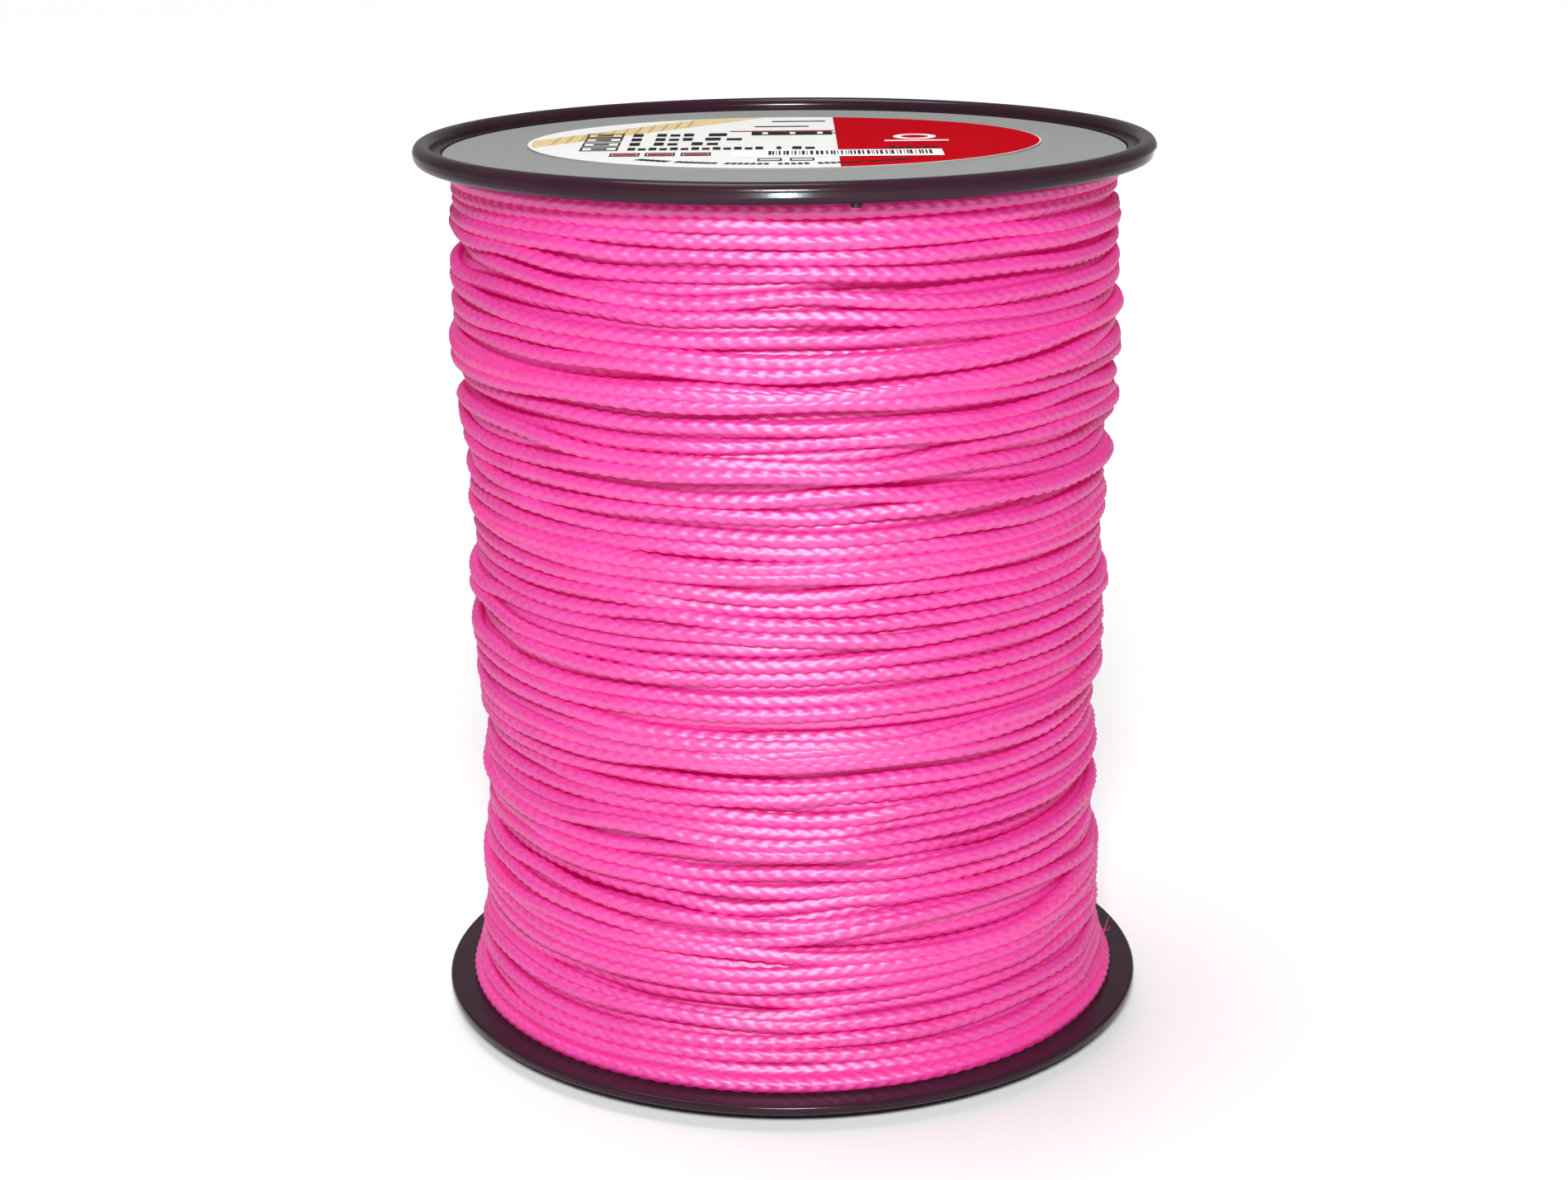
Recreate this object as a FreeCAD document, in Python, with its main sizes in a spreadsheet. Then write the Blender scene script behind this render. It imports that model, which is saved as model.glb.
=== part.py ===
"""A flanged spool with 200 m of 1.5 mm braided polypropylene cord wound on it.

Millimetres. +Z is the spool's axis and the origin is at the centre of the foot, so z = 0 is the
surface that the spool stands on. -Y is the front.

The spool is three mouldings: a barrel, and an upper and a lower flange whose spigots press into
it. A spindle passes through the bosses of both flanges, up to the card that covers the top.
"""

import FreeCAD
import Part
import Sketcher
import math
import os

SIZES = {
    # the whole spool
    "flange_diameter": 85.0,
    "overall_height": 104.4,
    # upper flange: a raised lip round a sunk face that holds a card and the label
    "lip_height": 2.4,
    "lip_width": 2.2,
    "lip_round": 1.05,
    "ledge_width": 1.0,
    "ledge_height": 0.6,
    "recess_depth": 1.7,
    "web_thickness": 1.0,
    "lip_overhang": 3.4,
    "gate_width": 1.2,
    "gate_height": 0.3,
    "gate_angle": 10.0,
    # lower flange: a thin edge above a foot ring that nests in another spool's lip
    "edge_thickness": 1.1,
    "edge_round": 0.4,
    "foot_height": 1.7,
    "foot_radius": 38.2,
    "foot_width": 2.0,
    "rib_width": 1.2,
    "rib_lift": 0.3,
    "rib_count": 8.0,
    # the parts round the axis
    "spindle_radius": 8.0,
    "boss_wall": 1.8,
    "boss_length": 12.0,
    "spigot_wall": 1.6,
    "spigot_length": 8.0,
    "barrel_diameter": 32.0,
    "barrel_wall": 1.8,
    # a round card in the sunk face, and an oval label stuck on it a little behind the axis
    "card_gap": 0.2,
    "card_thickness": 0.3,
    "label_width": 59.6,
    "label_depth": 50.0,
    "label_offset": 4.0,
    "label_thickness": 0.2,
    # cord
    "cord_diameter": 1.5,
    "outer_layers": 4.0,
    "knot_radius": 2.1,
    "anchor_height": 17.0,
    "anchor_clearance": 0.4,
}

# The wound cord's outline, as fractions of the height between the flanges and of the flange's
# radius. Layers build up unevenly: it swells at both flanges and half way up.
WINDING_OUTLINE = [
    (0.00, 0.912),
    (0.04, 0.900),
    (0.12, 0.875),
    (0.24, 0.868),
    (0.34, 0.859),
    (0.42, 0.874),
    (0.49, 0.893),
    (0.58, 0.867),
    (0.66, 0.889),
    (0.82, 0.904),
    (1.00, 0.898),
]


class Length:
    """A size with the spreadsheet formula that gives it, so that both stay the same."""

    def __init__(self, value, formula):
        self.value = value
        self.formula = formula

    def combined(self, sign, other, value):
        other_formula = other.formula if isinstance(other, Length) else str(other)
        return Length(value, "(%s %s %s)" % (self.formula, sign, other_formula))

    def __add__(self, other):
        return self.combined("+", other, self.value + number(other))

    def __sub__(self, other):
        return self.combined("-", other, self.value - number(other))

    def __mul__(self, other):
        return self.combined("*", other, self.value * number(other))

    def __truediv__(self, other):
        return self.combined("/", other, self.value / number(other))


def number(length):
    return length.value if isinstance(length, Length) else float(length)


ZERO = Length(0.0, "0")


def size(alias):
    return Length(SIZES[alias], "Sizes." + alias)


def add_sheet(doc):
    sheet = doc.addObject("Spreadsheet::Sheet", "Sizes")
    for row, (alias, value) in enumerate(SIZES.items(), start=1):
        sheet.set("A%d" % row, alias)
        sheet.set("B%d" % row, str(value))
        sheet.setAlias("B%d" % row, alias)
    doc.recompute()


def add_body(doc, label):
    body = doc.addObject("PartDesign::Body", label)
    body.Label = label
    return body


def origin_plane(body, role):
    for feature in body.Origin.OriginFeatures:
        if feature.Role == role:
            return feature
    raise ValueError("no plane " + role)


def add_sketch(body, name, plane="XZ_Plane", lift=ZERO):
    """A sketch on one of the body's own planes, moved along the plane's normal by lift."""
    sketch = body.newObject("Sketcher::SketchObject", name)
    sketch.AttachmentSupport = [(origin_plane(body, plane), "")]
    sketch.MapMode = "FlatFace"
    if lift.value:
        sketch.setExpression(".AttachmentOffset.Base.z", lift.formula)
    return sketch


def pin_point(sketch, line, end, across, up):
    """Holds one end of a line at the two lengths from the sketch's origin."""
    for kind, axis, length in (("DistanceX", -2, across), ("DistanceY", -1, up)):
        if length.value == 0:
            sketch.addConstraint(Sketcher.Constraint("PointOnObject", line, end, axis))
            continue
        index = sketch.addConstraint(Sketcher.Constraint(kind, -1, 1, line, end, length.value))
        sketch.setExpression("Constraints[%d]" % index, length.formula)


def add_outline(sketch, points):
    """A closed outline of straight lines through the points, each one held by its sizes."""
    corners = [FreeCAD.Vector(across.value, up.value, 0) for across, up in points]
    lines = []
    for here, there in zip(corners, corners[1:] + corners[:1]):
        lines.append(sketch.addGeometry(Part.LineSegment(here, there), False))
    for line, following in zip(lines, lines[1:] + lines[:1]):
        sketch.addConstraint(Sketcher.Constraint("Coincident", line, 2, following, 1))
    for line, (across, up) in zip(lines, points):
        pin_point(sketch, line, 1, across, up)


def add_circle(sketch, radius, across=ZERO, up=ZERO):
    centre = FreeCAD.Vector(across.value, up.value, 0)
    circle = sketch.addGeometry(Part.Circle(centre, FreeCAD.Vector(0, 0, 1), radius.value), False)
    pin_point(sketch, circle, 3, across, up)
    index = sketch.addConstraint(Sketcher.Constraint("Radius", circle, radius.value))
    sketch.setExpression("Constraints[%d]" % index, radius.formula)


def revolve(body, sketch, name):
    turned = body.newObject("PartDesign::Revolution", name)
    turned.Profile = sketch
    turned.ReferenceAxis = (sketch, ["V_Axis"])
    turned.Angle = 360
    sketch.Document.recompute()
    return turned


def round_edges(body, feature, name, places, radius):
    """Rounds the circular edges of feature that lie at the (radius, height) places."""
    names = []
    for index, edge in enumerate(feature.Shape.Edges, start=1):
        if not isinstance(edge.Curve, Part.Circle):
            continue
        for edge_radius, height in places:
            near_radius = abs(edge.Curve.Radius - edge_radius.value) < 0.01
            if near_radius and abs(edge.Curve.Center.z - height.value) < 0.01:
                names.append("Edge%d" % index)
    if len(names) != len(places):
        raise ValueError("%s found %d of %d edges" % (name, len(names), len(places)))
    fillet = body.newObject("PartDesign::Fillet", name)
    fillet.Base = (feature, names)
    fillet.Radius = radius.value
    fillet.setExpression("Radius", radius.formula)
    body.Document.recompute()
    return fillet


FLANGE_RADIUS = size("flange_diameter") / 2
TOP = size("overall_height")
UPPER_FACE = TOP - size("recess_depth")
UPPER_INNER_FACE = UPPER_FACE - size("web_thickness")
LOWER_INNER_FACE = size("foot_height") + size("edge_thickness")
BOSS_RADIUS = size("spindle_radius") + size("boss_wall")
BARREL_RADIUS = size("barrel_diameter") / 2
BARREL_BORE = BARREL_RADIUS - size("barrel_wall")
SPIGOT_BORE = BARREL_BORE - size("spigot_wall")


def upper_flange(doc):
    body = add_body(doc, "upper_flange")
    lip_bottom = TOP - size("lip_height")
    lip_inside = FLANGE_RADIUS - size("lip_width")
    ledge_inside = lip_inside - size("ledge_width")
    ledge_top = UPPER_FACE + size("ledge_height")
    web_edge = FLANGE_RADIUS - size("lip_overhang")
    boss_end = UPPER_FACE - size("boss_length")
    spigot_end = UPPER_INNER_FACE - size("spigot_length")
    sketch = add_sketch(body, "upper_flange_outline")
    add_outline(
        sketch,
        [
            (size("spindle_radius"), UPPER_FACE),
            (size("spindle_radius"), boss_end),
            (BOSS_RADIUS, boss_end),
            (BOSS_RADIUS, UPPER_INNER_FACE),
            (SPIGOT_BORE, UPPER_INNER_FACE),
            (SPIGOT_BORE, spigot_end),
            (BARREL_BORE, spigot_end),
            (BARREL_BORE, UPPER_INNER_FACE),
            (web_edge, UPPER_INNER_FACE),
            (web_edge, lip_bottom),
            (FLANGE_RADIUS, lip_bottom),
            (FLANGE_RADIUS, TOP),
            (lip_inside, TOP),
            (lip_inside, ledge_top),
            (ledge_inside, ledge_top),
            (ledge_inside, UPPER_FACE),
        ],
    )
    turned = revolve(body, sketch, "upper_flange_turned")
    crest = [(FLANGE_RADIUS, TOP), (lip_inside, TOP), (FLANGE_RADIUS, lip_bottom)]
    rounded = round_edges(body, turned, "lip_rounds", crest, size("lip_round"))
    add_gate_mark(body, rounded, lip_bottom)


def add_gate_mark(body, base, lip_bottom):
    """The little stub that the moulding gate leaves under the lip, right of the front. It
    starts inside the lip, above the lip's rounded edge."""
    sketch = add_sketch(body, "gate_mark_outline", "XY_Plane", lip_bottom + size("lip_round"))
    angle = math.radians(SIZES["gate_angle"])
    middle = FLANGE_RADIUS - size("gate_width")
    across = middle * math.sin(angle)
    along = middle * -math.cos(angle)
    add_circle(sketch, size("gate_width") / 2, across, along)
    stub = body.newObject("PartDesign::Pad", "gate_mark")
    stub.Profile = sketch
    stub.Reversed = True
    length = size("gate_height") + size("lip_round")
    stub.Length = length.value
    stub.setExpression("Length", length.formula)
    body.Document.recompute()
    if stub.Shape.Volume <= base.Shape.Volume:
        raise ValueError("the gate mark adds nothing")


def lower_flange(doc):
    body = add_body(doc, "lower_flange")
    foot_inside = size("foot_radius") - size("foot_width")
    web_bottom = LOWER_INNER_FACE - size("web_thickness")
    edge_bottom = size("foot_height")
    spigot_end = LOWER_INNER_FACE + size("spigot_length")
    sketch = add_sketch(body, "lower_flange_outline")
    add_outline(
        sketch,
        [
            (size("spindle_radius"), size("rib_lift")),
            (BOSS_RADIUS, size("rib_lift")),
            (BOSS_RADIUS, web_bottom),
            (foot_inside, web_bottom),
            (foot_inside, ZERO),
            (size("foot_radius"), ZERO),
            (size("foot_radius"), edge_bottom),
            (FLANGE_RADIUS, edge_bottom),
            (FLANGE_RADIUS, LOWER_INNER_FACE),
            (BARREL_BORE, LOWER_INNER_FACE),
            (BARREL_BORE, spigot_end),
            (SPIGOT_BORE, spigot_end),
            (SPIGOT_BORE, LOWER_INNER_FACE),
            (BOSS_RADIUS, LOWER_INNER_FACE),
            (BOSS_RADIUS, size("boss_length")),
            (size("spindle_radius"), size("boss_length")),
        ],
    )
    turned = revolve(body, sketch, "lower_flange_turned")
    rim = [(FLANGE_RADIUS, edge_bottom), (FLANGE_RADIUS, LOWER_INNER_FACE)]
    round_edges(body, turned, "edge_rounds", rim, size("edge_round"))
    add_foot_ribs(body, foot_inside, web_bottom)


def add_foot_ribs(body, foot_inside, web_bottom):
    """Radial ribs under the web, from the boss to the foot ring, clear of the ground."""
    bite = 0.2
    half_width = size("rib_width") / 2
    start = BOSS_RADIUS - bite
    end = foot_inside + bite
    sketch = add_sketch(body, "rib_outline", "XY_Plane", size("rib_lift"))
    add_outline(
        sketch,
        [
            (start, ZERO - half_width),
            (end, ZERO - half_width),
            (end, half_width),
            (start, half_width),
        ],
    )
    rib = body.newObject("PartDesign::Pad", "rib")
    rib.Profile = sketch
    height = web_bottom - size("rib_lift") + bite
    rib.Length = height.value
    rib.setExpression("Length", height.formula)
    ribs = body.newObject("PartDesign::PolarPattern", "ribs")
    ribs.Originals = [rib]
    ribs.Axis = (sketch, ["N_Axis"])
    ribs.Angle = 360
    ribs.setExpression("Occurrences", "Sizes.rib_count")
    body.Tip = ribs
    body.Document.recompute()


def barrel(doc):
    body = add_body(doc, "barrel")
    sketch = add_sketch(body, "barrel_section", "XY_Plane", LOWER_INNER_FACE)
    add_circle(sketch, BARREL_RADIUS)
    add_circle(sketch, BARREL_BORE)
    tube = body.newObject("PartDesign::Pad", "barrel_tube")
    tube.Profile = sketch
    length = UPPER_INNER_FACE - LOWER_INNER_FACE
    tube.Length = length.value
    tube.setExpression("Length", length.formula)
    doc.recompute()
    hole_sketch = add_sketch(body, "anchor_hole_section", "YZ_Plane")
    hole_radius = size("cord_diameter") / 2 + size("anchor_clearance")
    add_circle(hole_sketch, hole_radius, ZERO, size("anchor_height"))
    hole = body.newObject("PartDesign::Pocket", "anchor_hole")
    hole.Profile = hole_sketch
    hole.Reversed = True
    hole.Length = BARREL_RADIUS.value + 1
    hole.setExpression("Length", (BARREL_RADIUS + 1).formula)
    doc.recompute()
    removed = tube.Shape.Volume - hole.Shape.Volume
    expected = math.pi * hole_radius.value**2 * SIZES["barrel_wall"]
    if abs(removed - expected) > 0.2 * expected:
        raise ValueError("the anchor hole cuts %.2f mm3, not %.2f" % (removed, expected))


def face_card(doc):
    """The card that fills the sunk face, up to the ledge inside the lip."""
    body = add_body(doc, "face_card")
    sketch = add_sketch(body, "card_outline", "XY_Plane", UPPER_FACE)
    ledge_inside = FLANGE_RADIUS - size("lip_width") - size("ledge_width")
    add_circle(sketch, ledge_inside - size("card_gap"))
    card = body.newObject("PartDesign::Pad", "card")
    card.Profile = sketch
    card.Length = SIZES["card_thickness"]
    card.setExpression("Length", "Sizes.card_thickness")


def oval_label(doc):
    outline = doc.addObject("Part::Ellipse", "label_outline")
    outline.setExpression("MajorRadius", "Sizes.label_width / 2")
    outline.setExpression("MinorRadius", "Sizes.label_depth / 2")
    outline.setExpression(".Placement.Base.y", "Sizes.label_offset")
    outline.setExpression(".Placement.Base.z", (UPPER_FACE + size("card_thickness")).formula)
    label = doc.addObject("Part::Extrusion", "label")
    label.Label = "label"
    label.Base = outline
    label.Dir = FreeCAD.Vector(0, 0, 1)
    label.DirMode = "Custom"
    label.Solid = True
    label.setExpression("LengthFwd", "Sizes.label_thickness")


def winding_curve(inset):
    """The outline of the wound cord as one smooth curve, inset towards the axis."""
    bottom = LOWER_INNER_FACE.value
    height = UPPER_INNER_FACE.value - bottom
    points = []
    for part_up, part_out in WINDING_OUTLINE:
        radius = part_out * FLANGE_RADIUS.value - inset
        points.append(FreeCAD.Vector(radius, 0, bottom + part_up * height))
    curve = Part.BSplineCurve()
    curve.interpolate(points)
    return curve.toShape()


def turned_ring(inner, outer):
    """The ring swept round the axis by the face between an inner and an outer line."""
    low = Part.makeLine(inner.firstVertex().Point, outer.firstVertex().Point)
    high = Part.makeLine(outer.lastVertex().Point, inner.lastVertex().Point)
    face = Part.Face(Part.Wire(Part.__sortEdges__([inner, low, outer, high])))
    axis = FreeCAD.Vector(0, 0, 1)
    return face.revolve(FreeCAD.Vector(0, 0, 0), axis, 360)


def winding(doc):
    """The cord on the barrel: its hidden inner layers, and the outer layers round them."""
    depth = SIZES["outer_layers"] * SIZES["cord_diameter"]
    barrel_line = Part.makeLine(
        FreeCAD.Vector(BARREL_RADIUS.value, 0, LOWER_INNER_FACE.value),
        FreeCAD.Vector(BARREL_RADIUS.value, 0, UPPER_INNER_FACE.value),
    )
    boundary = winding_curve(depth)
    for label, inner, outer in (
        ("cord_inner_layers", barrel_line, boundary),
        ("cord_outer_layers", boundary, winding_curve(0)),
    ):
        ring = doc.addObject("Part::Feature", label)
        ring.Label = label
        ring.Shape = turned_ring(inner, outer)


def start_knot(doc):
    """The knot inside the barrel that holds the start of the cord, with the cord's first few
    millimetres, which go out through the anchor hole."""
    knot_centre = BARREL_BORE - size("knot_radius") - 0.1
    knot = doc.addObject("Part::Sphere", "knot")
    knot.setExpression("Radius", "Sizes.knot_radius")
    knot.setExpression(".Placement.Base.x", knot_centre.formula)
    knot.setExpression(".Placement.Base.z", "Sizes.anchor_height")
    lead = doc.addObject("Part::Cylinder", "lead")
    lead.setExpression("Radius", "Sizes.cord_diameter / 2")
    lead.setExpression("Height", (BARREL_RADIUS - knot_centre).formula)
    lead.Placement.Rotation = FreeCAD.Rotation(FreeCAD.Vector(0, 1, 0), 90)
    lead.setExpression(".Placement.Base.x", knot_centre.formula)
    lead.setExpression(".Placement.Base.z", "Sizes.anchor_height")
    joined = doc.addObject("Part::Fuse", "cord_start_knot")
    joined.Label = "cord_start_knot"
    joined.Base = knot
    joined.Tool = lead


def check(doc):
    for item in doc.Objects:
        if "Invalid" in item.State or "Error" in item.State:
            raise ValueError("%s is %s" % (item.Name, item.State))


def write_parts(doc, labels):
    os.makedirs("parts", exist_ok=True)
    for label in labels:
        shape = doc.getObjectsByLabel(label)[0].Shape
        if shape.isNull() or not shape.isValid() or len(shape.Solids) != 1:
            raise ValueError(label + " has no valid solid")
        shape.exportStep("parts/%s.step" % label)
        box = shape.optimalBoundingBox()
        print("%-18s %8.0f mm3, z %6.2f to %6.2f, radius %.2f"
              % (label, shape.Volume, box.ZMin, box.ZMax, box.XMax))


def main():
    doc = FreeCAD.newDocument("cord_spool")
    add_sheet(doc)
    upper_flange(doc)
    lower_flange(doc)
    barrel(doc)
    face_card(doc)
    oval_label(doc)
    winding(doc)
    start_knot(doc)
    doc.recompute()
    check(doc)
    write_parts(
        doc,
        [
            "upper_flange",
            "lower_flange",
            "barrel",
            "face_card",
            "label",
            "cord_inner_layers",
            "cord_outer_layers",
            "cord_start_knot",
        ],
    )


main()
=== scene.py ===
"""Looks for the cord spool: an upright two-flange spool of pink braided cord.

Metres, in the frame's own axes: z = 0 is the surface that the spool stands on, +Z its axis and
-Y the front. The winding is laid turn by turn on a map of the wound surface, and each turn rests
on what is beneath it, as on a winding machine. That part works in millimetres.
"""

import math

import bmesh
import bpy
import numpy as np
from mathutils import Euler, Matrix, Vector


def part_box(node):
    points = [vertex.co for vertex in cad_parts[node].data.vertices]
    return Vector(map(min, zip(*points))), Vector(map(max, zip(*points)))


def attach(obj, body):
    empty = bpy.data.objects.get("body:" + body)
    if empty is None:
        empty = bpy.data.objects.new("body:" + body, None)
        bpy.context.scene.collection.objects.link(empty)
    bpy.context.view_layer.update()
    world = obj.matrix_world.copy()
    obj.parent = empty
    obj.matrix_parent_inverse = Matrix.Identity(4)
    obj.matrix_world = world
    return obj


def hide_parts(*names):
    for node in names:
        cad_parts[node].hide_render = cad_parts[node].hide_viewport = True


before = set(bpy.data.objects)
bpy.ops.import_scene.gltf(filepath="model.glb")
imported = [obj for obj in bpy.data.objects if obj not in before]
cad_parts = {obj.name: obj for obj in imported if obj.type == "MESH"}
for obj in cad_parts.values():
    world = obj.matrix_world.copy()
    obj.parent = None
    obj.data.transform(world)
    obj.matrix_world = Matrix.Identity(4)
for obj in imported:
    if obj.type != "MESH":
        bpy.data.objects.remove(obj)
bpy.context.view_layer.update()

MM = 0.001
TURN = 2 * math.pi

# ---------------------------------------------------------------- places taken from the frame

upper_low, upper_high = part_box("upper_flange")
wound_low, wound_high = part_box("cord_outer_layers")
label_low, label_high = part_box("label")
FLANGE_RADIUS = (upper_high[0] - upper_low[0]) / 2
CREST = upper_high[2]
LABEL_TOP = label_high[2]
LABEL_MIDDLE = (label_low[1] + label_high[1]) / 2
LABEL_HALF_WIDTH = (label_high[0] - label_low[0]) / 2
LABEL_HALF_DEPTH = (label_high[1] - label_low[1]) / 2
Z_LOW = wound_low[2] / MM
Z_HIGH = wound_high[2] / MM

# ---------------------------------------------------------------- camera, world, lights, floor

# The camera, from a fit to the flanges' outlines in the photo
CAMERA_DISTANCE = 7.309 * FLANGE_RADIUS
CAMERA_RISE = 0.835 * FLANGE_RADIUS
CAMERA_PITCH = math.radians(16.16)
CAMERA_ROLL = math.radians(-0.56)
CAMERA_LENS = 61.6
SENSOR_WIDTH = 36.0
CAMERA_SHIFT = -0.003
# The surroundings' brightness: towards the spool's front, in mirrored light and in matt light
WORLD_FRONT = 0.40
WORLD_FULL_AT = 0.9
WORLD_MIRRORED = 0.45
WORLD_MATT = 0.22
FLOOR_HALF_WIDTH = 3.0
FLOOR_FRONT = -1.5
FLOOR_BACK = 1.2
FLOOR_BEND = 0.5
FLOOR_BEND_STEPS = 12
BACKDROP_TOP = 1.6
FLOOR_GAP = 0.0002
FLOOR_GLOW = 0.6
GLOW_RANGE = (0.10, 0.42)


def make_camera():
    data = bpy.data.cameras.new("camera")
    data.sensor_width = SENSOR_WIDTH
    data.sensor_fit = "HORIZONTAL"
    data.lens = CAMERA_LENS
    data.shift_x = CAMERA_SHIFT
    data.clip_start = 0.01
    data.clip_end = 20
    camera = bpy.data.objects.new("camera", data)
    tilt = Euler((math.pi / 2 - CAMERA_PITCH, 0, 0)).to_matrix()
    roll = Matrix.Rotation(CAMERA_ROLL, 3, "Z")
    camera.matrix_world = (tilt @ roll).to_4x4()
    camera.location = (0, -CAMERA_DISTANCE, CREST + CAMERA_RISE)
    bpy.context.scene.collection.objects.link(camera)
    bpy.context.scene.camera = camera


def make_world():
    """White surroundings, which light the spool as if they were dimmer, most of all at its
    front."""
    world = bpy.data.worlds.new("studio")
    world.use_nodes = True
    background = world.node_tree.nodes["Background"]
    axes = add_node(world, "ShaderNodeSeparateXYZ")
    link(world, add_node(world, "ShaderNodeTexCoord").outputs["Generated"], axes.inputs["Vector"])
    link(world, ranged(world, axes.outputs["Y"], (0, WORLD_FULL_AT), (WORLD_FRONT, 1)),
         background.inputs["Color"])
    path = add_node(world, "ShaderNodeLightPath")
    strength = ranged(world, path.outputs["Is Diffuse Ray"], (0, 1), (WORLD_MIRRORED, WORLD_MATT))
    link(world, strength, background.inputs["Strength"])
    plain = add_node(world, "ShaderNodeBackground", Color=(1, 1, 1, 1))
    either = add_node(world, "ShaderNodeMixShader")
    link(world, path.outputs["Is Camera Ray"], either.inputs["Fac"])
    link(world, background.outputs["Background"], either.inputs[1])
    link(world, plain.outputs["Background"], either.inputs[2])
    link(world, either.outputs["Shader"], world.node_tree.nodes["World Output"].inputs["Surface"])
    bpy.context.scene.world = world


def sun_light(name, direction, angle, strength):
    data = bpy.data.lights.new(name, "SUN")
    data.angle = math.radians(angle)
    data.energy = strength
    light = bpy.data.objects.new(name, data)
    light.rotation_euler = Vector(direction).to_track_quat("-Z", "Y").to_euler()
    bpy.context.scene.collection.objects.link(light)


def area_light(name, place, aim, width, height, power):
    data = bpy.data.lights.new(name, "AREA")
    data.shape = "RECTANGLE"
    data.size = width
    data.size_y = height
    data.energy = power
    light = bpy.data.objects.new(name, data)
    light.location = place
    light.rotation_euler = (Vector(aim) - Vector(place)).to_track_quat("-Z", "Y").to_euler()
    bpy.context.scene.collection.objects.link(light)
    return light


def make_lights():
    """Returns the flash, which makes the highlight on the upper flange's lip."""
    middle = (0, 0, CREST * 0.55)
    sun_light("daylight", direction=(0.16, -0.14, -0.97), angle=32, strength=1.5)
    area_light("key", (-0.01, -0.66, 0.45), middle, width=0.16, height=0.09, power=8.9)
    fill = area_light("fill", (0.1, 0.85, 0.13), middle, width=0.5, height=0.15, power=6.5)
    fill.visible_glossy = False
    lip = (0, 0, CREST)
    flash = area_light("flash", (0.0, -0.50, 0.045), lip, width=0.02, height=0.02, power=2.6)
    flash.data.color = (0.70, 0.95, 1.0)
    flash.visible_diffuse = False
    return flash


def floor_paper():
    """Pale paper that brightens away from the spool."""
    material, shader = new_material("floor_paper", (0.74, 0.74, 0.74), 0.9)
    shader.inputs["Specular IOR Level"].default_value = 0.1
    shader.inputs["Emission Color"].default_value = (1, 1, 1, 1)
    place = add_node(material, "ShaderNodeTexCoord").outputs["Object"]
    distance = add_node(material, "ShaderNodeVectorMath", operation="LENGTH")
    link(material, place, distance.inputs["Vector"])
    glow = add_node(material, "ShaderNodeMath", operation="MULTIPLY")
    far = ranged(material, distance.outputs["Value"], GLOW_RANGE, (0, FLOOR_GLOW))
    link(material, far, glow.inputs[0])
    link(material, add_node(material, "ShaderNodeLightPath").outputs["Is Camera Ray"],
         glow.inputs[1])
    link(material, glow.outputs["Value"], shader.inputs["Emission Strength"])
    return material


def make_floor():
    """A floor that curves up into a backdrop far behind."""
    line = [(FLOOR_FRONT, 0.0), (FLOOR_BACK, 0.0)]
    for step in range(1, FLOOR_BEND_STEPS + 1):
        angle = math.pi / 2 * step / FLOOR_BEND_STEPS
        line.append((FLOOR_BACK + FLOOR_BEND * math.sin(angle), FLOOR_BEND * (1 - math.cos(angle))))
    line.append((FLOOR_BACK + FLOOR_BEND, BACKDROP_TOP))
    points = [(side * FLOOR_HALF_WIDTH, y, z) for y, z in line for side in (-1, 1)]
    faces = [(2 * i, 2 * i + 1, 2 * i + 3, 2 * i + 2) for i in range(len(line) - 1)]
    mesh = bpy.data.meshes.new("floor")
    mesh.from_pydata(points, [], faces)
    mesh.polygons.foreach_set("use_smooth", [True] * len(faces))
    mesh.materials.append(floor_paper())
    floor = bpy.data.objects.new("floor", mesh)
    bpy.context.scene.collection.objects.link(floor)
    floor.location.z = -FLOOR_GAP


# ---------------------------------------------------------------- materials


def new_material(name, colour, roughness):
    material = bpy.data.materials.new(name)
    material.use_nodes = True
    material.diffuse_color = (*colour, 1)
    shader = material.node_tree.nodes["Principled BSDF"]
    shader.inputs["Base Color"].default_value = (*colour, 1)
    shader.inputs["Roughness"].default_value = roughness
    return material, shader


def add_node(owner, kind, **settings):
    """A new node of a material or a world. The settings are its inputs' values or its own."""
    node = owner.node_tree.nodes.new(kind)
    for name, value in settings.items():
        if name in node.inputs:
            node.inputs[name].default_value = value
        else:
            setattr(node, name, value)
    return node


def link(owner, output, socket):
    owner.node_tree.links.new(output, socket)


def noise(material, place, scale, detail, roughness=0.5):
    node = add_node(material, "ShaderNodeTexNoise", Scale=scale, Detail=detail, Roughness=roughness)
    link(material, place, node.inputs["Vector"])
    return node.outputs["Fac"]


def ranged(owner, value, source, target):
    """Maps the value from the source range to the target range, and holds it there."""
    node = owner.node_tree.nodes.new("ShaderNodeMapRange")
    node.inputs["From Min"].default_value = source[0]
    node.inputs["From Max"].default_value = source[1]
    node.inputs["To Min"].default_value = target[0]
    node.inputs["To Max"].default_value = target[1]
    link(owner, value, node.inputs["Value"])
    return node.outputs["Result"]


def mixed_colour(material, factor, first, second):
    """Mixes two colours, each a colour or another node's output, by factor."""
    node = add_node(material, "ShaderNodeMix", data_type="RGBA")
    link(material, factor, node.inputs["Factor"])
    for socket, colour in ((node.inputs[6], first), (node.inputs[7], second)):
        if isinstance(colour, tuple):
            socket.default_value = (*colour, 1)
        else:
            link(material, colour, socket)
    return node.outputs[2]


def bump(material, shader, height, strength, distance):
    node = add_node(material, "ShaderNodeBump", Strength=strength, Distance=distance)
    link(material, height, node.inputs["Height"])
    link(material, node.outputs["Normal"], shader.inputs["Normal"])


def object_place(material):
    return add_node(material, "ShaderNodeTexCoord").outputs["Object"]


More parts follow.
